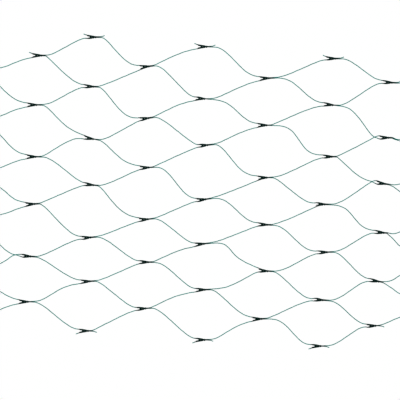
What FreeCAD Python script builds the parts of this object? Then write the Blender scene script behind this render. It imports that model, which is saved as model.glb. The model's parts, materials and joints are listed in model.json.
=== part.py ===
"""A panel of light knotted twine net, hung by the loops of its left edge.

The net is worked in eight courses. Each course is one length of twine that zigzags up the
panel between two columns of knots: it is looped through the knots of the column on its left
and tied round the loops of the next course in the column on its right. The panel folds along
each column of knots, where the two legs of every loop leave the knot side by side.

X runs across the courses, Y is the depth and Z is up. The origin is the bend of the top loop
of the left edge, where the net is hooked up. All sizes are in millimetres.
"""

import FreeCAD
import Part
import Sketcher
import math
import os

os.makedirs("parts", exist_ok=True)
doc = FreeCAD.newDocument("twine_net")

# ---------------------------------------------------------------- driving dimensions

SIZES = {
    "twine_diameter": 1.2,
    # the grid of knots, by column from the left edge loops to the right edge loops
    "column_gap_1": 84.5,
    "column_gap_2": 92.9,
    "column_gap_3": 90.4,
    "column_gap_4": 92.1,
    "column_gap_5": 97.3,
    "column_gap_6": 98.5,
    "column_gap_7": 89.9,
    "column_gap_8": 96.6,
    "column_rise_1": 27.0,
    "column_rise_2": 29.4,
    "column_rise_3": 31.5,
    "column_rise_4": 32.2,
    "column_rise_5": 32.3,
    "column_rise_6": 31.7,
    "column_rise_7": 32.3,
    "column_rise_8": 32.0,
    "column_lean_1": 3.1,
    "column_lean_2": 1.5,
    "column_lean_3": 0.4,
    "column_lean_4": 0.4,
    "column_lean_5": 1.2,
    "column_lean_6": 2.9,
    "column_lean_7": 3.9,
    # the rows of knots, which climb to the right, from the top one down
    "top_row_height": 232.0,
    "row_gap_1": 79.0,
    "row_gap_2": 83.0,
    "row_gap_3": 75.0,
    "row_gap_4": 84.0,
    "row_gap_5": 73.0,
    "row_gap_6": 76.0,
    "row_gap_7": 78.0,
    "row_gap_8": 74.0,
    # one knot, measured from its middle
    "knot_back": 7.0,
    "knot_front": 6.0,
    "knot_height": 7.4,
    "knot_depth": 3.2,
    "knot_notch": 4.0,
    "knot_tip": 2.0,
    "knot_neck": 2.8,
    "knot_round": 0.35,
    # where the legs leave a knot and where they bend
    "fold_offset": 8.0,
    "leg_start": 14.0,
    "leg_spread": 1.5,
    "arm_spread": 5.2,
    "tuck": 0.4,
    "rise_first_bend": 24.0,
    "rise_last_bend": 24.0,
    "rise_entry_angle": 8.0,
    "fall_first_bend": 30.0,
    "fall_last_bend": 25.0,
    "loop_half_height": 9.0,
    "cut_end_length": 9.0,
    "long_end_length": 54.0,
    "cut_end_turn": 25.0,
}

sheet = doc.addObject("Spreadsheet::Sheet", "sizes")
for line, (alias, value) in enumerate(SIZES.items(), 1):
    sheet.set(f"A{line}", alias)
    sheet.set(f"B{line}", str(value))
    sheet.setAlias(f"B{line}", alias)
doc.recompute()


def size(alias):
    return float(sheet.get(alias))


# ---------------------------------------------------------------- the grid of knots

COURSES = 8
COLUMNS = COURSES - 1
TOP_ROW = {1: 0, 2: 0, 3: 1, 4: 1, 5: 2, 6: 2, 7: 3}
KNOTS = {1: 6, 2: 7, 3: 6, 4: 7, 5: 6, 6: 7, 7: 6}
LEFT_LOOP_ROWS = range(0, 5)
RIGHT_LOOP_ROWS = range(4, 9)


def column_middle(column):
    """Distance of a column from column 1, at half the panel's height."""
    return sum(size(f"column_gap_{n}") for n in range(2, column + 1)) - (
        size("column_gap_1") if column == 0 else 0
    )


def column_lean(column):
    """The lean of a column's line of knots, in degrees, with its top to the right."""
    return size(f"column_lean_{min(max(column, 1), COLUMNS)}")


def level(column, row):
    """Height of the knot where a row crosses a column."""
    row_height = size("top_row_height") - sum(size(f"row_gap_{n}") for n in range(1, row + 1))
    climb = sum(size(f"column_rise_{n}") for n in range(2, column + 1))
    return row_height + climb - (size("column_rise_1") if column == 0 else 0)


def grid_point(column, row):
    height = level(column, row)
    return column_middle(column) + height * math.tan(math.radians(column_lean(column))), height


ORIGIN = grid_point(0, 0)


def knot_middle(column, row):
    """The middle of a knot, or the bend of an edge loop in columns 0 and 8."""
    across, height = grid_point(column, row)
    return FreeCAD.Vector(across - ORIGIN[0], 0, height - ORIGIN[1])


def rows_of(column):
    return range(TOP_ROW[column], TOP_ROW[column] + KNOTS[column])


# ---------------------------------------------------------------- swept twine


def heading(degrees):
    """A unit vector in the panel's plane, turned up from +X."""
    return FreeCAD.Vector(math.cos(math.radians(degrees)), 0, math.sin(math.radians(degrees)))


tightest_radius = math.inf


def twine_path(points):
    """Straight runs joined by tangent arcs, each arc as large as its two runs allow."""
    global tightest_radius
    runs = [b - a for a, b in zip(points, points[1:])]
    edges, start = [], points[0]
    for n, corner in enumerate(points[1:-1], 1):
        before, after = runs[n - 1], runs[n]
        turn = before.getAngle(after)
        room_before = before.Length * (0.9 if n == 1 else 0.45)
        room_after = after.Length * (0.9 if n == len(points) - 2 else 0.45)
        tangent = min(room_before, room_after)
        tightest_radius = min(tightest_radius, tangent / math.tan(turn / 2))
        into = corner - before.normalize() * tangent
        out = corner + FreeCAD.Vector(after).normalize() * tangent
        bisector = (into + out) / 2 - corner
        radius = tangent / math.tan(turn / 2)
        centre_distance = radius / math.cos(turn / 2)
        middle = corner + bisector.normalize() * (centre_distance - radius)
        edges.append(Part.LineSegment(start, into).toShape())
        edges.append(Part.Arc(into, middle, out).toShape())
        start = out
    edges.append(Part.LineSegment(start, points[-1]).toShape())
    return Part.Wire(edges)


def swept_twine(points):
    """A round length of twine along a path, checked against section times length."""
    path = twine_path(points)
    radius = size("twine_diameter") / 2
    first = points[1] - points[0]
    section = Part.Wire(Part.Circle(points[0], first, radius).toShape())
    solid = path.makePipeShell([section], True, False)
    expected = math.pi * radius**2 * path.Length
    if abs(solid.Volume / expected - 1) > 0.01:
        raise RuntimeError(f"a length of twine holds {solid.Volume:.2f}, not {expected:.2f} mm3")
    return solid


def leg_start(column, row, side):
    """Where a leg is clear of the fold on the right of a knot; side is 1 above, -1 below."""
    offset = FreeCAD.Vector(size("leg_start"), 0, side * size("leg_spread") / 2)
    return knot_middle(column, row) + offset


def arm_end(column, row, side):
    """Where a leg is tucked into the upper or lower arm on the left of a knot."""
    back = size("knot_back") - size("tuck")
    return knot_middle(column, row) + FreeCAD.Vector(-back, 0, side * size("arm_spread") / 2)


def rising_leg(column, row):
    """From a knot up to the next knot of its row."""
    start = leg_start(column, row, 1)
    end = arm_end(column + 1, row, -1)
    first_bend = start + FreeCAD.Vector(size("rise_first_bend") - size("leg_start"), 0, 0)
    last_run = size("rise_last_bend") - size("knot_back")
    last_bend = end - heading(size("rise_entry_angle")) * last_run
    return [start, first_bend, last_bend, end]


def falling_leg(column, row):
    """From a knot down to the knot of the next row in the next column."""
    start = leg_start(column, row, -1)
    end = arm_end(column + 1, row + 1, 1)
    first_bend = start + FreeCAD.Vector(size("fall_first_bend") - size("leg_start"), 0, 0)
    last_bend = end - FreeCAD.Vector(size("fall_last_bend") - size("knot_back"), 0, 0)
    return [start, first_bend, last_bend, end]


def left_loop(row):
    """The half mesh that hangs the left edge: out of one knot, round the bend, into the next."""
    bend = knot_middle(0, row)
    half_height = FreeCAD.Vector(0, 0, size("loop_half_height"))
    upper, lower = arm_end(1, row, -1), arm_end(1, row + 1, 1)
    upper_run = size("rise_last_bend") - size("knot_back")
    lower_run = size("fall_last_bend") - size("knot_back")
    return [
        upper,
        upper - heading(size("rise_entry_angle")) * upper_run,
        bend + half_height,
        bend - half_height,
        lower - FreeCAD.Vector(lower_run, 0, 0),
        lower,
    ]


def right_loop(row):
    """The half mesh that ends the right edge, from the knot above it to the knot below it."""
    bend = knot_middle(COURSES, row)
    half_height = FreeCAD.Vector(0, 0, size("loop_half_height"))
    upper, lower = leg_start(COLUMNS, row - 1, -1), leg_start(COLUMNS, row, 1)
    return [
        upper,
        upper + FreeCAD.Vector(size("fall_first_bend") - size("leg_start"), 0, 0),
        bend + half_height,
        bend - half_height,
        lower + FreeCAD.Vector(size("rise_first_bend") - size("leg_start"), 0, 0),
        lower,
    ]


def cut_end(start, direction, side, length="cut_end_length"):
    """A free end of twine that bends away up or down after half its length."""
    half = size(length) / 2
    middle = start + heading(direction) * half
    turn = side * size("cut_end_turn")
    onward = direction + (turn if direction == 0 else -turn)
    return [start, middle, middle + heading(onward) * half]


def add_twine(label, paths):
    """A node of separate lengths of twine. Their bends follow the grid, so they are swept in
    code: a sketch for each of them would repeat one shape with other numbers."""
    node = doc.addObject("Part::Feature", label)
    node.Label = label
    node.Shape = Part.makeCompound([swept_twine(path) for path in paths])
    node.Placement = FreeCAD.Placement()
    return node


# ---------------------------------------------------------------- parametric bodies


def origin_plane(body, role):
    return next(f for f in body.Origin.OriginFeatures if f.Role == role)


def add_sketch(body, role, label):
    sketch = body.newObject("Sketcher::SketchObject", label)
    sketch.AttachmentSupport = (origin_plane(body, role), "")
    sketch.MapMode = "FlatFace"
    return sketch


def total(terms):
    """The sum of some driving dimensions, each times its factor."""
    return sum(factor * size(alias) for alias, factor in terms.items())


def formula(terms):
    """The same sum as an expression that the sheet keeps up to date."""
    products = [f"{factor} * sizes.{alias}" for alias, factor in terms.items()]
    return f"({' + '.join(products) or 0}) * 1 mm"


def pin_point(sketch, geometry, point, across, upward):
    """Hold one point of a sketch at two expressions of the driving dimensions."""
    position = sketch.getPoint(geometry, point)
    for kind, value, expression in (
        ("DistanceX", position.x, across),
        ("DistanceY", position.y, upward),
    ):
        number = sketch.addConstraint(Sketcher.Constraint(kind, -1, 1, geometry, point, value))
        sketch.setExpression(f"Constraints[{number}]", expression)


def repeat_down_column(body, column, base):
    """Repeat a body down the leaning line of its column, with the column's own row gaps."""
    line = add_sketch(body, "XZ_Plane", f"{body.Label}_lean")
    lean = math.radians(column_lean(column))
    below = FreeCAD.Vector(-50 * math.sin(lean), -50 * math.cos(lean), 0)
    number = line.addGeometry(Part.LineSegment(FreeCAD.Vector(), below), True)
    line.addConstraint(Sketcher.Constraint("Coincident", number, 1, -1, 1))
    pin_point(
        line,
        number,
        2,
        f"-50 mm * sin(sizes.column_lean_{column} * 1 deg)",
        f"-50 mm * cos(sizes.column_lean_{column} * 1 deg)",
    )
    rows = list(rows_of(column))
    gaps = [level(column, a) - level(column, b) for a, b in zip(rows, rows[1:])]
    pattern = body.newObject("PartDesign::LinearPattern", f"{body.Label}_rows")
    pattern.TransformMode = "Whole shape"
    pattern.BaseFeature = base
    pattern.Direction = (line, ["Axis0"])
    pattern.Mode = "Spacing"
    pattern.Occurrences = len(rows)
    pattern.Spacings = [gap / math.cos(lean) for gap in gaps]
    body.Tip = pattern
    return pattern


def add_knots(column):
    """A column of knots. Each is drawn up into two arms on the left and a neck on the right."""
    label = f"knots_{column}"
    body = doc.addObject("PartDesign::Body", label)
    body.Label = label
    outline = add_sketch(body, "XZ_Plane", f"{label}_outline")
    upper_half = [
        ({"knot_front": 1}, {"knot_neck": 0.5}),
        ({"knot_back": -1, "knot_tip": 1}, {"knot_height": 0.5}),
        ({"knot_back": -1}, {"knot_height": 0.5}),
        ({"knot_back": -1}, {"knot_height": 0.5, "knot_tip": -1}),
    ]
    lower_half = [
        (across, {alias: -factor for alias, factor in upward.items()})
        for across, upward in reversed(upper_half)
    ]
    corners = [*upper_half, ({"knot_back": -1, "knot_notch": 1}, {}), *lower_half]
    points = [FreeCAD.Vector(total(across), total(upward), 0) for across, upward in corners]
    for a, b in zip(points, points[1:] + points[:1]):
        outline.addGeometry(Part.LineSegment(a, b), False)
    for n, (across, upward) in enumerate(corners):
        before = (n - 1) % len(corners)
        outline.addConstraint(Sketcher.Constraint("Coincident", before, 2, n, 1))
        pin_point(outline, n, 1, formula(across), formula(upward))
    pad = body.newObject("PartDesign::Pad", f"{label}_pad")
    pad.Profile = outline
    pad.Midplane = True
    pad.setExpression("Length", "sizes.knot_depth * 1 mm")
    rounded = body.newObject("PartDesign::Fillet", f"{label}_round")
    rounded.Base = (pad, [])
    rounded.UseAllEdges = True
    rounded.setExpression("Radius", "sizes.knot_round * 1 mm")
    repeat_down_column(body, column, rounded)
    body.Placement.Base = knot_middle(column, TOP_ROW[column])
    return body


def add_bends(column):
    """The short pairs of twine that bend when the panel folds, from the knots of a column to
    the legs of the next course."""
    label = f"bends_{column + 1}"
    body = doc.addObject("PartDesign::Body", label)
    body.Label = label
    section = add_sketch(body, "YZ_Plane", f"{label}_section")
    for n, side in enumerate((1, -1)):
        centre = FreeCAD.Vector(0, side * size("leg_spread") / 2, 0)
        circle = Part.Circle(centre, FreeCAD.Vector(0, 0, 1), size("twine_diameter") / 2)
        section.addGeometry(circle, False)
        pin_point(section, n, 3, "0 mm", f"{side} * sizes.leg_spread / 2 * 1 mm")
        number = section.addConstraint(
            Sketcher.Constraint("Diameter", n, size("twine_diameter"))
        )
        section.setExpression(f"Constraints[{number}]", "sizes.twine_diameter * 1 mm")
    pad = body.newObject("PartDesign::Pad", f"{label}_pad")
    pad.Profile = section
    pad.setExpression("Length", "(sizes.leg_start - sizes.knot_front) * 1 mm")
    repeat_down_column(body, column, pad)
    front = FreeCAD.Vector(size("knot_front"), 0, 0)
    body.Placement.Base = knot_middle(column, TOP_ROW[column]) + front
    return body


# ---------------------------------------------------------------- the courses

nodes = []
for column in range(1, COLUMNS + 1):
    nodes.append(add_knots(column))
    nodes.append(add_bends(column))

for course in range(2, COURSES):
    left, right = course - 1, course
    rising = [row for row in rows_of(left) if row in rows_of(right)]
    falling = [row for row in rows_of(left) if row + 1 in rows_of(right)]
    rising_paths = [rising_leg(left, row) for row in rising]
    falling_paths = [falling_leg(left, row) for row in falling]
    nodes.append(add_twine(f"rising_legs_{course}", rising_paths))
    nodes.append(add_twine(f"falling_legs_{course}", falling_paths))

nodes.append(add_twine("left_edge_loops", [left_loop(row) for row in LEFT_LOOP_ROWS]))
nodes.append(add_twine("right_edge_loops", [right_loop(row) for row in RIGHT_LOOP_ROWS]))

# Each course's twine ends at the two ends of its longer column: at the arms of the knots that
# it ties, or beyond the knots that it is looped through. The first course's bottom end is
# left long, because it is cut where it would have turned into one more edge loop.
for course in range(1, COURSES + 1):
    ties_its_ends = course <= COLUMNS and (course == 1 or KNOTS[course] > KNOTS[course - 1])
    column = course if ties_its_ends else course - 1
    top, bottom = rows_of(column)[0], rows_of(column)[-1]
    if ties_its_ends:
        bottom_length = "long_end_length" if course == 1 else "cut_end_length"
        paths = [
            cut_end(arm_end(column, top, 1), 180, 1),
            cut_end(arm_end(column, bottom, -1), 180, -1, bottom_length),
        ]
    else:
        paths = [
            cut_end(leg_start(column, top, 1), 0, 1),
            cut_end(leg_start(column, bottom, -1), 0, -1),
        ]
    nodes.append(add_twine(f"cut_ends_{course}", paths))

# ---------------------------------------------------------------- checks and export

doc.recompute()
for thing in doc.Objects:
    if {"Invalid", "Error"} & set(thing.State):
        raise RuntimeError(f"{thing.Label} did not recompute: {thing.State}")
for node in nodes:
    if node.Shape.isNull() or not node.Shape.isValid():
        raise RuntimeError(f"{node.Label} is not a valid shape")

for node in nodes:
    node.Shape.exportStep(f"parts/{node.Label}.step")
    box = node.Shape.BoundBox
    print(
        f"{node.Label:18} {len(node.Shape.Solids):3} solids {node.Shape.Volume:9.2f} mm3 "
        f"x {box.XMin:7.1f} {box.XMax:7.1f} z {box.ZMin:7.1f} {box.ZMax:7.1f}"
    )
print(f"{len(nodes)} nodes, tightest bend of the twine {tightest_radius:.1f} mm")
for column in range(1, COLUMNS + 1):
    fold = knot_middle(column, TOP_ROW[column]) + FreeCAD.Vector(size("fold_offset"), 0, 0)
    print(f"fold {column} through {fold.x:.3f} {fold.z:.3f} lean {column_lean(column)}")
for column, rows in ((0, LEFT_LOOP_ROWS), (COURSES, RIGHT_LOOP_ROWS)):
    for row in rows:
        bend = knot_middle(column, row)
        print(f"loop {column} {row} bend {bend.x:.3f} {bend.z:.3f}")
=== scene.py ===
# %% [markdown]
# # A light knotted twine net
#
# The net is a soft panel of thin green twine, knotted by machine into diamond meshes. It is
# worked in eight courses, and each course is one unbroken length of twine that zigzags from
# the top of the panel to the bottom. On its left it is drawn through the knots of the course
# before as a loop, and on its right it is tied round the loops of the course after.
#
# So this scene makes eight pieces, one for each length of twine. The CAD model gives the
# places of the knots, the loops along both edges and the seven lines where the panel folds.
# Everything below is in millimetres until it becomes a mesh.

# %% Load the frame
import json
import math

import bpy
import numpy as np
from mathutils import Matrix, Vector


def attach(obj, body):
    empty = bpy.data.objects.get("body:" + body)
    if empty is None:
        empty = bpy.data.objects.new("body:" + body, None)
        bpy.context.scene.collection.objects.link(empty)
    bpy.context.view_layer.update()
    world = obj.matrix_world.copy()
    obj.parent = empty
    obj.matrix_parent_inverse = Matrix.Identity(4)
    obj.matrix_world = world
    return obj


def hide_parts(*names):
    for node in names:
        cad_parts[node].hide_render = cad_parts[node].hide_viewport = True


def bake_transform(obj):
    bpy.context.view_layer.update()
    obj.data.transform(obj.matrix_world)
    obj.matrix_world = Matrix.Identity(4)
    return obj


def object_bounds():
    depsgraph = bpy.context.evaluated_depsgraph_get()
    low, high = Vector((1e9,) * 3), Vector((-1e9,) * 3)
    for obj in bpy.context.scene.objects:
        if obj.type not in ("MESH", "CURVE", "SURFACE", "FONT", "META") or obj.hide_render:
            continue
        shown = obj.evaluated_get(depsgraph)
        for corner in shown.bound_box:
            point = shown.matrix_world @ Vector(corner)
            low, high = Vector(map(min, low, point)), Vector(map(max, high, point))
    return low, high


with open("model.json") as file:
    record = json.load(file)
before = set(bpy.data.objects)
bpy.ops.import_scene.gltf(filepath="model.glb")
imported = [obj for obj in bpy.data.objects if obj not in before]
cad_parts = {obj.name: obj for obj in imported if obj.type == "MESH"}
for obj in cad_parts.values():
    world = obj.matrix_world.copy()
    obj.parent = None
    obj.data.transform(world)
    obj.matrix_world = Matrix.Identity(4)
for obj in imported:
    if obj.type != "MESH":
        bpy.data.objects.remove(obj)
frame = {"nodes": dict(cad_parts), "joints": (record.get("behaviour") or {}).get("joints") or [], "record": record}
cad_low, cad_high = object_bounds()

MM = 0.001
print("the CAD model is", [round(side / MM, 1) for side in cad_high - cad_low], "mm")

# %% [markdown]
# ## Camera
#
# Nets are photographed square on, because any slant turns the diamonds into slivers. A long
# lens from a few metres away keeps the meshes at the edge of the picture the same size as
# those in the middle. The picture is narrower than the panel, so both edges run out of it.

# %% Camera
VIEW_WIDTH = 640
CAMERA_DISTANCE = 3500
VIEW_FROM_MIDDLE = Vector((-15, 0, -13.5))
SENSOR_WIDTH = 36

view_centre = (cad_low + cad_high) / 2 + VIEW_FROM_MIDDLE * MM
lens = bpy.data.cameras.new("camera")
lens.sensor_width = SENSOR_WIDTH
lens.lens = SENSOR_WIDTH * CAMERA_DISTANCE / VIEW_WIDTH
camera = bpy.data.objects.new("camera", lens)
camera.location = view_centre - Vector((0, CAMERA_DISTANCE, 0)) * MM
camera.rotation_euler = (math.radians(90), 0, 0)
bpy.context.scene.collection.objects.link(camera)
bpy.context.scene.camera = camera
print("the camera looks at", [round(side / MM) for side in view_centre])

# %% [markdown]
# ## Light and floor
#
# Thin dark twine is easiest to read against an even white, so the world itself is a white
# light all round, as inside a light tent. One large soft lamp from above and to the left gives
# the twine its sheen. The standard view keeps white at white, where a film-like one would grey
# it. The view's gamma is below one, which darkens the thinnest lines. It is a setting of the
# display and not of the twine, so an exported model looks paler. The floor lies well below the
# net and never shows in the square-on view.

# %% Light and floor
FLOOR_BELOW = 2000
FLOOR_HALF_WIDTH = 20000
LAMP_WIDTH = 1600
CONTRAST = 0.66
LAMP_POWER = 22
LAMP_PLACE = Vector((-900, -1700, 1500))

scene = bpy.context.scene
scene.view_settings.view_transform = "Standard"
scene.view_settings.gamma = CONTRAST
scene.world = bpy.data.worlds.new("light_tent")
scene.world.use_nodes = True
scene.world.node_tree.nodes["Background"].inputs["Color"].default_value = (1, 1, 1, 1)
scene.world.node_tree.nodes["Background"].inputs["Strength"].default_value = 1.0

lamp_data = bpy.data.lights.new("soft_lamp", "AREA")
lamp_data.size = LAMP_WIDTH * MM
lamp_data.energy = LAMP_POWER
lamp = bpy.data.objects.new("soft_lamp", lamp_data)
lamp.location = view_centre + LAMP_PLACE * MM
lamp.rotation_euler = (view_centre - lamp.location).to_track_quat("-Z", "Y").to_euler()
scene.collection.objects.link(lamp)

floor_level = cad_low.z - FLOOR_BELOW * MM
reach = FLOOR_HALF_WIDTH * MM
floor_mesh = bpy.data.meshes.new("floor")
floor_mesh.from_pydata(
    [(x * reach, y * reach, floor_level) for x, y in ((-1, -1), (1, -1), (1, 1), (-1, 1))],
    [],
    [(0, 1, 2, 3)],
)
floor = bpy.data.objects.new("floor", floor_mesh)
scene.collection.objects.link(floor)
print("the floor is at", round(floor_level / MM), "mm")

# %% [markdown]
# ## Where the knots are
#
# The CAD model has one node for each column of knots, with every knot a separate solid. Its
# corners are sorted by height, and wherever the next one is much lower, a new knot begins. The
# back of each solid then gives the middle of its knot. Rows climb to the right, so a column
# further right starts with a later row.

# %% Where the knots are
COURSES = 8
COLUMNS = COURSES - 1
TOP_ROW = {1: 0, 2: 0, 3: 1, 4: 1, 5: 2, 6: 2, 7: 3}
KNOT_BACK = 7.0
CLEAR_OF_ONE_KNOT = 20


def knot_middles(column):
    """The middles of a column's knots, highest first, as rows of x, y, z."""
    mesh = frame["nodes"][f"knots_{column}"].data
    corners = np.empty(len(mesh.vertices) * 3, np.float32)
    mesh.vertices.foreach_get("co", corners)
    corners = corners.reshape(-1, 3) / MM
    corners = corners[np.argsort(-corners[:, 2])]
    breaks = np.flatnonzero(np.diff(corners[:, 2]) < -CLEAR_OF_ONE_KNOT) + 1
    lows = np.array([part.min(0) for part in np.split(corners, breaks)])
    highs = np.array([part.max(0) for part in np.split(corners, breaks)])
    middles = (lows + highs) / 2
    middles[:, 0] = lows[:, 0] + KNOT_BACK
    return middles.astype(float)


knots = {
    (column, TOP_ROW[column] + n): middle
    for column in range(1, COLUMNS + 1)
    for n, middle in enumerate(knot_middles(column))
}
loops = {
    mount["name"]: np.array(mount["pos_m"]) / MM for mount in frame["record"]["mounts"]
}
print(len(knots), "knots and", len(loops), "edge loops")

# %% [markdown]
# ## How a real net is uneven
#
# A net that is pulled flat by hand never hangs true. Some knots are drawn a few millimetres
# off their line, and each knot turns a little to follow its stiffest leg. These two tables say
# so knot by knot, in millimetres and degrees, and a knot that isn't in them stays where the CAD
# model has it. The values come from separate measuring programs, rounded or picked between two
# of their results. They are not hand-chosen, as the sizes of a lesson should be.

# %% How a real net is uneven
KNOT_SHIFT = {
    (1, 1): (-3.5, 0), (1, 3): (2, -1), (2, 1): (-2, 0), (2, 3): (2, 1), (2, 5): (1, 3),
    (3, 3): (1, -3.5), (3, 4): (0, -2.5), (3, 5): (1, 2.5), (3, 6): (-2.5, 4),
    (4, 2): (-3, 0), (4, 3): (2.5, 0), (4, 4): (0, -3), (4, 5): (-2, -1), (4, 6): (0, 2),
    (5, 3): (-2, 0), (5, 5): (2, -2), (5, 6): (4, 0), (5, 7): (-4, 1),
    (6, 3): (0, 1.2), (6, 4): (3, 2), (6, 5): (-5, -1), (6, 6): (2.5, -2),
    (7, 3): (0, 4.5), (7, 6): (3, -2.5), (7, 7): (0, -2),
}
KNOT_TURN = {
    (1, 3): 4, (1, 4): -4, (2, 1): -2, (2, 2): -9, (2, 3): -6, (2, 4): 5, (2, 5): 3,
    (3, 1): 7, (3, 2): 9, (3, 3): 4, (3, 4): 6, (3, 6): 4,
    (4, 2): -3, (4, 3): 6, (4, 4): 8, (4, 5): 6, (4, 6): 2,
    (5, 2): 3, (5, 4): 2, (5, 5): -2, (5, 6): -3, (5, 7): 2,
    (6, 3): -5, (6, 5): -2, (6, 6): 2, (6, 7): -4,
    (7, 3): -3, (7, 5): -8, (7, 6): -5, (7, 7): -9, (7, 8): 2,
}

for place, (across, upward) in KNOT_SHIFT.items():
    knots[place] = knots[place] + (across, 0, upward)


def at_knot(place, points):
    """Points measured from a knot, turned with it and moved to where it is: a turn by t takes
    (x, z) to (x cos t - z sin t, x sin t + z cos t)."""
    turn = math.radians(KNOT_TURN.get(place, 0))
    x, y, z = np.array(points, float).T
    across = x * math.cos(turn) - z * math.sin(turn)
    upward = x * math.sin(turn) + z * math.cos(turn)
    return knots[place] + np.column_stack([across, y, upward])


print(len(KNOT_SHIFT), "knots are drawn off their lines and", len(KNOT_TURN), "are turned")

# %% [markdown]
# ## One knot
#
# The knot is a sheet bend. The loop of the next course pokes into it from the right, and the
# tying twine comes in along the top on the left, goes round the neck of the loop, doubles back
# to each tip in turn, and leaves along the bottom. That makes the dark swallow-tail that every
# knot shows: two arms three strands thick, drawn together at the neck. The twine is followed
# by a list of given points, because no formula ties a knot. The points keep the order of the
# turns but not the room between them, so the turns run through each other. From further off they
# read as one dark lump, but they are no use for printing or for a simulation.
#
# At three knots the two legs cross on their way in and leave a small eye.

# %% One knot
TWINE = 1.2
WRAP = [
    (-4.8, 0.0, 2.7), (-1.2, -0.2, 2.0), (3.4, -0.8, 1.4), (6.2, -1.4, 0.2),
    (6.8, -0.6, -1.3), (6.0, 1.1, -1.3), (5.1, 1.5, 0.3), (2.9, 1.2, 1.1),
    (-0.8, 0.9, 1.2), (-4.2, 0.8, 1.7), (-6.6, 0.7, 2.1), (-7.2, 0.0, 2.1),
    (-6.6, -0.7, 2.0), (-4.2, -0.8, 1.5), (-0.8, -1.0, 0.8), (2.3, -1.4, 0.5),
    (3.8, -1.4, -0.8), (3.4, 0.1, -1.8), (2.1, 1.5, -0.9), (1.0, 1.5, 0.8),
    (0.0, -0.2, 1.8), (-0.6, -1.6, 0.4), (-1.4, -1.1, -0.8), (-4.2, -0.8, -1.5),
    (-6.6, -0.7, -2.0), (-7.2, 0.0, -2.1), (-6.6, 0.7, -2.1), (-4.2, 0.8, -1.7),
    (-0.8, 0.9, -1.2), (3.1, 1.2, -1.1), (5.7, 1.5, 0.0), (6.5, 0.3, 1.4),
    (5.7, -1.4, 0.4), (3.9, -1.2, -1.3), (-1.2, -0.4, -2.0), (-4.8, 0.0, -2.7),
]
NECK = 6.0
PAIR_TWIST_AT = 9.8
PAIR_END = 13.2
BIGHT = [(0.5, 0.0, 0.8), (-2.9, 0.0, 0.8), (-2.9, 0.0, -0.8), (0.5, 0.0, -0.8)]

ARM = (-4.0, 2.9)
CROSSED = {(1, 4): (19, 0.8), (7, 4): (16, 2.4), (7, 5): (15, 2.6)}
CROSSING_HEIGHT = 1
EYE_LENGTH = 6

PAIR_HALF = TWINE * 0.53
TURN_AT_END, TURN_AT_NECK = 0.2, 0.4
TURN_LIMITS = (15, 95)
CROSSING_OFFSET = 0.6
EYE_OFFSET = 0.4

rng = np.random.default_rng(11)
pair_turn = {place: math.radians(rng.uniform(*TURN_LIMITS)) for place in sorted(knots)}


def bight(place):
    """A loop drawn through a knot from the right. Its two strands lie side by side, and turn
    round each other on the way: at x they stand half a twine from the middle, at an angle."""
    turns = (
        (PAIR_END, TURN_AT_END),
        (PAIR_TWIST_AT, pair_turn[place]),
        (NECK, TURN_AT_NECK),
    )

    def half_pair(side):
        return [
            (x, side * PAIR_HALF * math.sin(turn), side * PAIR_HALF * math.cos(turn))
            for x, turn in turns
        ]

    return at_knot(place, half_pair(1) + BIGHT + half_pair(-1)[::-1])


def wrap(place):
    """The tying twine's turns round a knot's loop, from the arm where it comes in to the other.
    Where its two legs cross, it comes in by the lower arm."""
    return at_knot(place, WRAP[::-1] if place in CROSSED else WRAP)


def way_in(place, side):
    """Where a strand that comes from above (side 1) or below (-1) is led to its arm: the two
    points of its crossing, or at a plain knot the arm itself."""
    if place not in CROSSED:
        return at_knot(place, [(ARM[0], 0, side * ARM[1])])
    cross, eye_half = CROSSED[place]
    crossing = (-cross, side * TWINE * CROSSING_OFFSET, CROSSING_HEIGHT)
    eye_height = CROSSING_HEIGHT - side * eye_half
    eye = (EYE_LENGTH - cross, side * TWINE * EYE_OFFSET, eye_height)
    return at_knot(place, [crossing, eye])


loop_points = len(bight((1, TOP_ROW[1])))
print("a knot takes", len(WRAP), "points for its wraps and", loop_points, "for its loop")

# %% [markdown]
# ## The legs between knots
#
# A leg leaves its knot beside its twin, bends away, runs slantwise and bends again before the
# next knot. Two points make that shape: one straight out of the first knot, and one just short
# of the second, on the line by which the leg comes in. How far off they lie is a matter of
# how each course was pulled, and the legs with a mind of their own are listed after. Many of
# these numbers are the result of a separate fitting program, and some were then changed by hand.

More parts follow.
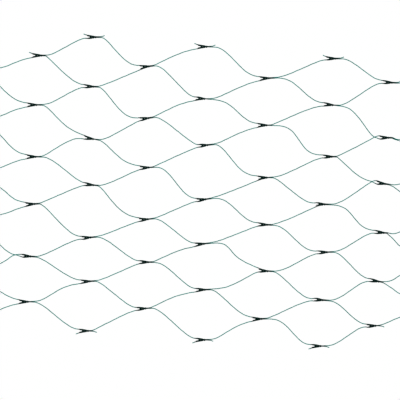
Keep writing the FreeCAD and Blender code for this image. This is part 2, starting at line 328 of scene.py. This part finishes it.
# %% The legs between knots
LEG_BENDS = {
    2: {"rising": (24, 12, -12), "falling": (24, 18, 0)},
    3: {"rising": (25, 6, -10), "falling": (22, 24, 0)},
    4: {"rising": (16, 30, 10), "falling": (27, 14, -6)},
    5: {"rising": (25, 28, 12), "falling": (34, 25, 4)},
    6: {"rising": (26, 10, -14), "falling": (32, 24, -4)},
    7: {"rising": (30, 14, -14), "falling": (30, 18, 3)},
}
ODD_LEGS = {
    ("rising", 2, 3): (17, 7, -20), ("rising", 2, 5): (29, 32, 6),
    ("falling", 2, 1): (23, 36, 20), ("falling", 2, 2): (30, 12, 0),
    ("rising", 3, 1): (15, 58, 23),
    ("falling", 3, 2): (24, 31, 9), ("falling", 3, 3): (19, 32, 10),
    ("falling", 3, 4): (28, 13, -9), ("falling", 3, 5): (22, 14, -6),
    ("rising", 4, 3): (14, 6, -20), ("rising", 4, 4): (22, 8, -14),
    ("falling", 4, 2): (26, 10, -20), ("falling", 4, 3): (33, 21, 3),
    ("rising", 5, 4): (17, 58, 22), ("rising", 5, 5): (29, 6, -10),
    ("rising", 5, 6): (45, 7, -18), ("falling", 5, 2): (44, 22, 5),
    ("falling", 5, 5): (43, 46, 22), ("falling", 5, 6): (24, 22, 6),
    ("rising", 2, 1): (28, 12, -12), ("rising", 2, 2): (20, 22, -13),
    ("falling", 2, 0): (15, 20, 3), ("falling", 2, 3): (20, 20, 0),
    ("falling", 2, 5): (27, 18, 0), ("falling", 3, 1): (22, 27, -6),
    ("rising", 3, 6): (14, 10, -8), ("rising", 4, 6): (16, 36, 8),
    ("falling", 4, 5): (31, 14, -6), ("falling", 5, 3): (29, 30, 4),
    ("falling", 5, 4): (38, 22, 2), ("rising", 6, 2): (32, 12, -8),
    ("rising", 6, 3): (16, 20, 0), ("rising", 6, 4): (30, 10, -14),
    ("rising", 6, 6): (31, 12, -8), ("rising", 6, 7): (20, 16, -8),
    ("falling", 6, 7): (40, 20, -4), ("rising", 7, 3): (26, 14, -14),
    ("rising", 6, 5): (15, 55, 25), ("falling", 6, 2): (41, 22, 2),
    ("falling", 6, 3): (48, 32, 1), ("falling", 6, 4): (22, 19, -10),
    ("falling", 6, 6): (24, 19, -11),
    ("rising", 7, 4): (16, 9.5, 32), ("rising", 7, 5): (30, 10, 30),
    ("falling", 7, 3): (38, 10, 38), ("falling", 7, 4): (16, 21, 14),
    ("falling", 7, 5): (42, 27, 4), ("falling", 7, 6): (27, 18, 3),
}
BOW = 2.5


def leg(kind, course, row):
    """The two bends of a leg, from its left knot to its right one. The first is first mm out of
    the left knot. The last is last mm back from the right knot's arm, entry degrees below it
    for a rising leg and above it for a falling one. Both stand a little out of the panel."""
    first, last, entry = ODD_LEGS.get((kind, course, row), LEG_BENDS[course][kind])
    side = 1 if kind == "rising" else -1
    left, right = (course - 1, row), (course, row if kind == "rising" else row + 1)
    bow = rng.uniform(-BOW, BOW, 2)
    out = at_knot(left, [(first, bow[0], side * TWINE / 2)])
    led_in = way_in(right, -side)
    slope = math.radians(entry)
    back = np.array([math.cos(slope) * last, -bow[1], side * math.sin(slope) * last])
    return np.vstack([out, led_in[:1] - back, led_in if right in CROSSED else led_in[1:]])


print("a rising leg of course 2 bends at", np.round(leg("rising", 2, 2), 1).tolist())

# %% [markdown]
# ## The loops along both edges
#
# The outermost meshes are left as open half diamonds, and the net is hung or laced by them.
# Each loop leaves one knot, turns round the point that the CAD model gives as its bend, and
# comes back to the next knot. Two tables give the points of each strand, outward from its knot.

# %% The loops along both edges
UPPER_STRANDS = {
    (1, 1): [(-21, 4.7), (-37, 14.5), (-53, 31)],
    (1, 2): [(-19, 5), (-35, 16), (-51, 37)],
    (1, 3): [(-20, 5), (-30, 10.5), (-45, 25)],
    (1, 4): [(-25, 3.5), (-40, 14)],
    (1, 5): [(-18, 5), (-37, 14.5)],
    (7, 4): [(18, -2.5), (29, -4)],
    (7, 5): [(18, -2.8), (34, -1.5)],
    (7, 6): [(17, -2), (26, -2), (34, 1.5)],
    (7, 7): [(22, -1.2), (31, 2), (42, 11)],
    (7, 8): [(13, 0.7), (29, 6), (45, 15)],
}
LOWER_STRANDS = {
    (1, 0): [(-21, -5.5), (-37, -12), (-53, -19.5)],
    (1, 1): [(-21, -5.5), (-37, -12), (-53, -19.5)],
    (1, 2): [(-19, -5), (-35, -11), (-51, -18.5)],
    (1, 3): [(-13, -4.5), (-29, -10.5), (-45, -17)],
    (1, 4): [(-26, -1.5), (-40, -13)],
    (7, 3): [(20, -0.8), (28, -2)],
    (7, 4): [(18, -3.7), (29, -5.2)],
    (7, 5): [(15, -3.5), (22, -6.5), (34, -18)],
    (7, 6): [(12, -3), (18, -7), (26, -16), (34, -25)],
    (7, 7): [(14, -3.2), (22, -8), (32, -15), (42, -23)],
}
LEFT_TURN = [(12, 6), (-1, 6), (-1, -6.5), (14, -9)]
RIGHT_TURN = [(-16, 10), (1, 6.5), (1, -6.5), (-16, -11)]


def strand(table, place):
    """A strand of an edge loop, outward from its knot, standing a little out of the panel."""
    offsets = table[place]
    bow = rng.uniform(-BOW, BOW, len(offsets))
    return np.array([knots[place] + (x, y, z) for (x, z), y in zip(offsets, bow)])


def turn_round(bend, offsets):
    """The points by which a loop turns round its bend, top to bottom."""
    bow = rng.uniform(-BOW, BOW, len(offsets))
    return np.array([bend + (x, y, z) for (x, z), y in zip(offsets, bow)])


def left_loop(row):
    """From the lower arm of the knot above, round the bend, to the upper arm of the one below."""
    above, below = (1, row), (1, row + 1)
    crossed_above = way_in(above, -1)[::-1] if above in CROSSED else np.empty((0, 3))
    crossed_below = way_in(below, 1) if below in CROSSED else np.empty((0, 3))
    bend = turn_round(loops[f"left_loop_{row + 1}"], LEFT_TURN)
    down = strand(LOWER_STRANDS, above)
    up = strand(UPPER_STRANDS, below)[::-1]
    return np.vstack([crossed_above, down, bend, up, crossed_below])


def right_loop(row):
    """From the lower strand of the knot above, round the bend, to the upper strand below."""
    bend = turn_round(loops[f"right_loop_{row - TOP_ROW[COLUMNS]}"], RIGHT_TURN)
    down = strand(LOWER_STRANDS, (COLUMNS, row - 1))
    up = strand(UPPER_STRANDS, (COLUMNS, row))[::-1]
    return np.vstack([down, bend, up])


print("the first loop turns by way of", len(left_loop(0)), "points")

# %% [markdown]
# ## One course from end to end
#
# Reading down the panel, a course ties a knot on its right, is looped through one on its left,
# ties the next one, and so on. Its two ends are cut off a little beyond its last knots.

# %% One course from end to end
TAIL_LEFT = [(-13.0, 0.8, 5.2), (-8.5, 0.3, 3.2)]
TAIL_RIGHT = [(20.5, 0.8, 2.7), (16.0, 0.3, 0.7)]
LONG_TAIL = [(-22, 0.3, -5.5), (-38, 1.2, -13), (-56, 2.0, -17)]


def rows_of(column):
    return [row for (c, row) in sorted(knots) if c == column]


def mirrored(points):
    """The same points upside down and in the other order."""
    return [(x, y, -z) for x, y, z in points[::-1]]


def course_route(course):
    """All the points of a course's twine, from its top end to its bottom end."""
    ties = rows_of(course) if course <= COLUMNS else []
    loops_through = rows_of(course - 1) if course > 1 else []
    starts_by_tying = course == 1 or (bool(ties) and len(ties) > len(loops_through))
    end_column = course if starts_by_tying else course - 1
    tail = TAIL_LEFT if starts_by_tying else TAIL_RIGHT
    first_row, last_row = rows_of(end_column)[0], rows_of(end_column)[-1]
    route = [at_knot((end_column, first_row), tail)]
    for row in range(first_row, last_row + 1):
        if row in ties:
            route.append(wrap((course, row)))
            if course == 1 and row < last_row:
                route.append(left_loop(row))
            if course > 1 and row in loops_through:
                route.append(leg("rising", course, row)[::-1])
        if row in loops_through:
            route.append(bight((course - 1, row)))
            if course == COURSES and row < last_row:
                route.append(right_loop(row + 1))
            if row + 1 in ties:
                route.append(leg("falling", course, row))
    bottom_tail = LONG_TAIL if course == 1 else mirrored(tail)
    route.append(at_knot((end_column, last_row), bottom_tail))
    return np.vstack(route)


routes = {course: course_route(course) for course in range(1, COURSES + 1)}
print("points in each course:", [len(route) for route in routes.values()])

# %% [markdown]
# ## From points to a smooth line
#
# Twine has no corners, so its line is a cubic B-spline of its points. Each stretch of that
# curve is a weighted mean of four neighbouring points, and the whole curve is worked out at
# once as one product of arrays. It is then walked at even steps, so that the skin that goes
# round it is made of even quads. A little waviness is added where no knot holds the twine.

# %% From points to a smooth line
STEP = 0.5
SAMPLES_PER_SPAN = 40
WAVE_HEIGHT = (0.35, 0.22)
WAVE_LENGTHS = (13.0, 21.0, 37.0)


def smooth_line(points):
    """The uniform cubic B-spline of the points, at even steps. With u from 0 to 1 the weights
    are (1-u)^3, 3u^3-6u^2+4, -3u^3+3u^2+3u+1 and u^3, all over 6."""
    ends = np.vstack([points[:1], points[:1], points, points[-1:], points[-1:]])
    u = np.linspace(0, 1, SAMPLES_PER_SPAN, endpoint=False)
    weights = np.array(
        [(1 - u) ** 3, 3 * u**3 - 6 * u**2 + 4, -3 * u**3 + 3 * u**2 + 3 * u + 1, u**3]
    )
    spans = len(ends) - 3
    windows = np.stack([ends[n : n + spans] for n in range(4)])
    fine = np.einsum("kn,ksd->snd", weights / 6, windows).reshape(-1, 3)
    fine = np.vstack([fine, points[-1:]])
    walked = np.r_[0, np.cumsum(np.linalg.norm(np.diff(fine, axis=0), axis=1))]
    steps = np.arange(0, walked[-1], STEP)
    return np.column_stack([np.interp(steps, walked, axis) for axis in fine.T])


ARM_REACH, ARM_FADE = 11, 3
PAIR_REACH, PAIR_FADE = 18, 8
KNOT_REACH, KNOT_FADE = 7, 2
STILLING = 3


def snugness(line):
    """How tightly a knot holds each point: 1 inside one, falling to 0 along its legs."""
    middles = np.array(list(knots.values()))
    away = line[:, None, :] - middles[None, :, :]
    nearest = np.argmin((away**2).sum(2), axis=1)
    x, _, z = away[np.arange(len(line)), nearest].T
    left = np.clip((x + ARM_REACH) / ARM_FADE, 0, 1)
    right = np.clip((PAIR_REACH - x) / PAIR_FADE, 0, 1)
    level = np.clip((KNOT_REACH - np.abs(z)) / KNOT_FADE, 0, 1)
    return left * right * level


def waves(line, held):
    """Three slow waves with chance phases, in and across the panel, still at the knots."""
    along = np.arange(len(line)) * STEP
    phases = rng.uniform(0, 2 * math.pi, (2, len(WAVE_LENGTHS)))
    turns = 2 * math.pi * along[:, None] / np.array(WAVE_LENGTHS)
    depth, height = (np.sin(turns + phase).mean(1) for phase in phases)
    free = 1 - np.clip(held * STILLING, 0, 1)
    shift = np.column_stack([0 * along, WAVE_HEIGHT[0] * depth, WAVE_HEIGHT[1] * height])
    return line + shift * free[:, None]


lines, held_by = {}, {}
for course, route in routes.items():
    line = smooth_line(route)
    held_by[course] = snugness(line)
    lines[course] = waves(line, held_by[course])
print("twine in each course, in mm:", [round(len(line) * STEP) for line in lines.values()])

# %% [markdown]
# ## The skin of three-ply twine
#
# The twine is laid up from three plies, so its section is a circle with three grooves, and the
# grooves turn round it as it goes. The section is carried along the line by two directions at
# right angles to it. They are measured from one fixed direction in which no stretch of the
# twine runs, so the whole skin is one formula on a grid of steps by sides.

# %% The skin of three-ply twine
SIDES = 12
LAY = 4.6
GROOVE = 0.24
SPREAD = 0.14
NEVER_ALONG = np.array([1.0, 1.0, 0.0]) / math.sqrt(2)


def unit(vectors):
    return vectors / np.linalg.norm(vectors, axis=-1, keepdims=True)


def twine_skin(line, held):
    """Rings of corners round a line, steps by sides by x, y, z. A corner at angle a stands
    R (1 - groove (1 - |cos 1.5a|)) from the line, and the ring turns once for every lay. R is
    larger where a knot holds the twine, because its turns are pressed flat and spread."""
    along = unit(np.gradient(line, axis=0))
    outward = unit(NEVER_ALONG - (along @ NEVER_ALONG)[:, None] * along)
    third = np.cross(along, outward)
    angle = np.arange(SIDES) * 2 * math.pi / SIDES
    fullness = TWINE / 2 * (1 + SPREAD * held[:, None])
    radius = fullness * (1 - GROOVE * (1 - np.abs(np.cos(1.5 * angle))))
    turn = angle[None, :] + (2 * math.pi * STEP / LAY * np.arange(len(line)))[:, None]
    across = radius * np.cos(turn)
    up = radius * np.sin(turn)
    return (
        line[:, None, :]
        + across[:, :, None] * outward[:, None, :]
        + up[:, :, None] * third[:, None, :]
    )


def twine_piece(name, line, held):
    """A closed mesh of a length of twine, with its length and angle as a UV map, and how snugly
    it is held and how deep in a groove each corner is as attributes."""
    rings = twine_skin(line, held)
    steps = len(rings)
    corner = np.arange(steps * SIDES).reshape(steps, SIDES)
    following = np.roll(corner, -1, axis=1)
    quads = np.stack([corner[:-1], following[:-1], following[1:], corner[1:]], axis=-1)
    start, end = steps * SIDES, steps * SIDES + 1
    first_cap = np.column_stack([following[0], corner[0], np.full(SIDES, start)])
    last_cap = np.column_stack([corner[-1], following[-1], np.full(SIDES, end)])
    points = np.vstack([rings.reshape(-1, 3), line[:1], line[-1:]]) * MM
    faces = quads.reshape(-1, 4).tolist() + first_cap.tolist() + last_cap.tolist()
    mesh = bpy.data.meshes.new(name)
    mesh.from_pydata(points.tolist(), [], faces)
    mesh.polygons.foreach_set("use_smooth", np.ones(len(faces), bool))

    level, side = np.meshgrid(np.arange(steps - 1), np.arange(SIDES), indexing="ij")
    u = np.stack([level, level, level + 1, level + 1], axis=-1) * STEP / LAY
    v = np.stack([side, side + 1, side + 1, side], axis=-1) / SIDES
    flat = np.column_stack([u.ravel(), v.ravel()])
    caps = np.zeros((len(mesh.loops) - len(flat), 2))
    mesh.uv_layers.new(name="lay").data.foreach_set("uv", np.vstack([flat, caps]).ravel())

    depth = 1 - np.abs(np.cos(1.5 * np.arange(SIDES) * 2 * math.pi / SIDES))
    for attribute, values in (
        ("held", np.repeat(held, SIDES)),
        ("groove", np.tile(depth, steps)),
    ):
        full = np.r_[values, 0, 0].astype(np.float32)
        mesh.attributes.new(attribute, "FLOAT", "POINT").data.foreach_set("value", full)
    piece = bpy.data.objects.new(name, mesh)
    scene.collection.objects.link(piece)
    return piece


pieces = {
    course: twine_piece(f"course_{course}_twine", line, held_by[course])
    for course, line in lines.items()
}
triangles = [2 * len(piece.data.polygons) for piece in pieces.values()]
print("triangles in each piece:", triangles)

# %% [markdown]
# ## Writing shaders as sums
#
# A shader is a graph, but most of it is arithmetic. This small class holds one socket, and its
# operators add the Math node that they stand for, so that a mask reads as a formula. Any other
# node comes from the method `node`, which takes its type, its settings and its inputs.

# %% Writing shaders as sums
class Wire:
    """One output socket, with the operators that lead on from it."""

    def __init__(self, tree, socket=None):
        self.tree, self.socket = tree, socket

    def node(self, kind, settings=None, output=0, **inputs):
        """A new node. Inputs are numbers, colours or other wires, by the socket's name with
        underscores for spaces, or by in0, in1 and so on for its number."""
        made = self.tree.nodes.new(kind)
        for name, value in (settings or {}).items():
            setattr(made, name, value)
        for name, value in inputs.items():
            key = int(name[2:]) if name.startswith("in") else name.replace("_", " ")
            if isinstance(value, Wire):
                self.tree.links.new(value.socket, made.inputs[key])
            else:
                made.inputs[key].default_value = value
        return Wire(self.tree, made.outputs[output] if len(made.outputs) else None)

    def _math(self, operation, first, second):
        return self.node("ShaderNodeMath", {"operation": operation}, in0=first, in1=second)

    def __mul__(self, other):
        return self._math("MULTIPLY", self, other)

    def __sub__(self, other):
        return self._math("SUBTRACT", self, other)

    def __rsub__(self, other):
        return self._math("SUBTRACT", other, self)

    def __pow__(self, other):
        return self._math("POWER", self, other)

    __rmul__ = __mul__


def new_material(name):
    """A material with its shader, ready for its sockets to be set."""
    material = bpy.data.materials.new(name)
    material.use_nodes = True
    return material, material.node_tree, material.node_tree.nodes["Principled BSDF"]


operators = ("__mul__", "__rmul__", "__sub__", "__rsub__", "__pow__")
print("a wire has the operators", [name for name in operators if name in vars(Wire)])

# %% [markdown]
# ## The green twine
#
# The twine is spun from fine polyethylene filaments, dyed a blue-green. Its filaments lie along
# the plies, so their streaks are noise on the UV map, stretched along the length. The colour
# drifts slowly along the panel. The grooves are painted darker than the crowns, as painted shade,
# and the knots, where strands crowd together, are painted darkest, almost black, as painted shade.

# %% The green twine
LEG_COLOUR = (0.002, 0.220, 0.185, 1)
PALE_COLOUR = (0.004, 0.370, 0.325, 1)
# Painted shade: a near-black colour for the knots, where crowded strands shade each other.
KNOT_PAINTED_SHADE = (0.001, 0.030, 0.024, 1)
# Painted shade: a darker colour for the grooves between the plies.
GROOVE_PAINTED_SHADE = (0.001, 0.100, 0.082, 1)
STREAKS = (1.5, 60, 1)
DRIFT_SCALE = 30
DRIFT_GAIN, DRIFT_SHIFT = 1.4, 0.35
STREAK_GAIN, STREAK_SHIFT = 0.6, 0.1
GROOVE_SHADE = 0.6
KNOT_SHADE, KNOT_CURVE = 0.95, 0.7
BUMP_STRENGTH, BUMP_HEIGHT = 0.35, 0.05
ROUGHNESS, STREAK_SHINE = 0.55, 0.15
SPECULAR = 0.1

twine_material, tree, shader = new_material("green_twine")
wire = Wire(tree)
uv = wire.node("ShaderNodeUVMap", {"uv_map": "lay"})
object_place = wire.node("ShaderNodeTexCoord", output="Object")
held = wire.node("ShaderNodeAttribute", {"attribute_name": "held"}, output="Fac")
groove = wire.node("ShaderNodeAttribute", {"attribute_name": "groove"}, output="Fac")
stretched = wire.node("ShaderNodeMapping", Vector=uv, Scale=STREAKS)
streak = wire.node("ShaderNodeTexNoise", Vector=stretched, Scale=1.0, Detail=3.0)
drift = wire.node("ShaderNodeTexNoise", Vector=object_place, Scale=DRIFT_SCALE, Detail=2.0)


def mixed(factor, first, second):
    """One colour fading into another."""
    settings = {"data_type": "RGBA"}
    return wire.node("ShaderNodeMix", settings, 2, in0=factor, in6=first, in7=second)


body = mixed(drift * DRIFT_GAIN - DRIFT_SHIFT, LEG_COLOUR, PALE_COLOUR)
streaked = mixed(streak * STREAK_GAIN - STREAK_SHIFT, body, LEG_COLOUR)
# Painted shade: the grooves between the plies are darkened.
with_painted_groove_shade = mixed(groove**2 * GROOVE_SHADE, streaked, GROOVE_PAINTED_SHADE)
# Painted shade: the knots, where strands crowd together, are darkened towards near black.
with_painted_knot_shade = mixed(held**KNOT_CURVE * KNOT_SHADE, with_painted_groove_shade, KNOT_PAINTED_SHADE)
bump = wire.node(
    "ShaderNodeBump", Height=streak, Strength=BUMP_STRENGTH, Distance=BUMP_HEIGHT * MM
)
tree.links.new(with_painted_knot_shade.socket, shader.inputs["Base Color"])
tree.links.new((ROUGHNESS - STREAK_SHINE * streak).socket, shader.inputs["Roughness"])
tree.links.new(bump.socket, shader.inputs["Normal"])
shader.inputs["Specular IOR Level"].default_value = SPECULAR
for piece in pieces.values():
    piece.data.materials.append(twine_material)
print("the twine's shader has", len(tree.nodes), "nodes")

# %% [markdown]
# ## The floor's paint
#
# The floor only has to be quiet, so it is a matt off-white with the faintest mottling.

# %% The floor's paint
FLOOR_TONES = ((0.86, 0.86, 0.85, 1), (0.90, 0.90, 0.89, 1))
MOTTLE_SCALE = 3.0
FLOOR_ROUGHNESS = 0.9

floor_material, floor_tree, floor_shader = new_material("pale_floor")
floor_wire = Wire(floor_tree)
floor_place = floor_wire.node("ShaderNodeTexCoord", output="Object")
mottle = floor_wire.node("ShaderNodeTexNoise", Vector=floor_place, Scale=MOTTLE_SCALE)
floor_colour = floor_wire.node(
    "ShaderNodeMix",
    {"data_type": "RGBA"},
    2,
    in0=mottle,
    in6=FLOOR_TONES[0],
    in7=FLOOR_TONES[1],
)
floor_tree.links.new(floor_colour.socket, floor_shader.inputs["Base Color"])
floor_shader.inputs["Roughness"].default_value = FLOOR_ROUGHNESS
floor_mesh.materials.append(floor_material)
print("the floor's shader has", len(floor_tree.nodes), "nodes")

# %% [markdown]
# ## Hanging the pieces on the frame
#
# The first course rides on the body that hangs from the hooks. Every other course crosses one
# fold, and its loops stay in the knots of the course before, but its piece is only fixed where it
# stands and given to no body, so its legs don't swing and its short pairs don't bend. The hinges
# point up and down by turns; each one's axis is read and turned to point up, but not used. Each
# piece stands for the CAD solids of its twine.

# %% Hanging the pieces on the frame
joints = {joint["child"]: joint for joint in frame["joints"]}

for course, piece in pieces.items():
    body_name = f"course_{course}"
    if body_name in joints:
        joint = joints[body_name]
        axis = Vector(joint["axis"])
        upward = axis if axis.z > 0 else -axis
        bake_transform(piece)
    else:
        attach(piece, body_name)
    stands_for = [node for node in frame["nodes"] if node.endswith(f"_{course}")]
    if course == 1:
        stands_for.append("left_edge_loops")
    if course == COURSES:
        stands_for.append("right_edge_loops")
    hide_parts(*stands_for)
    print(piece.name, "stands for", sorted(stands_for))
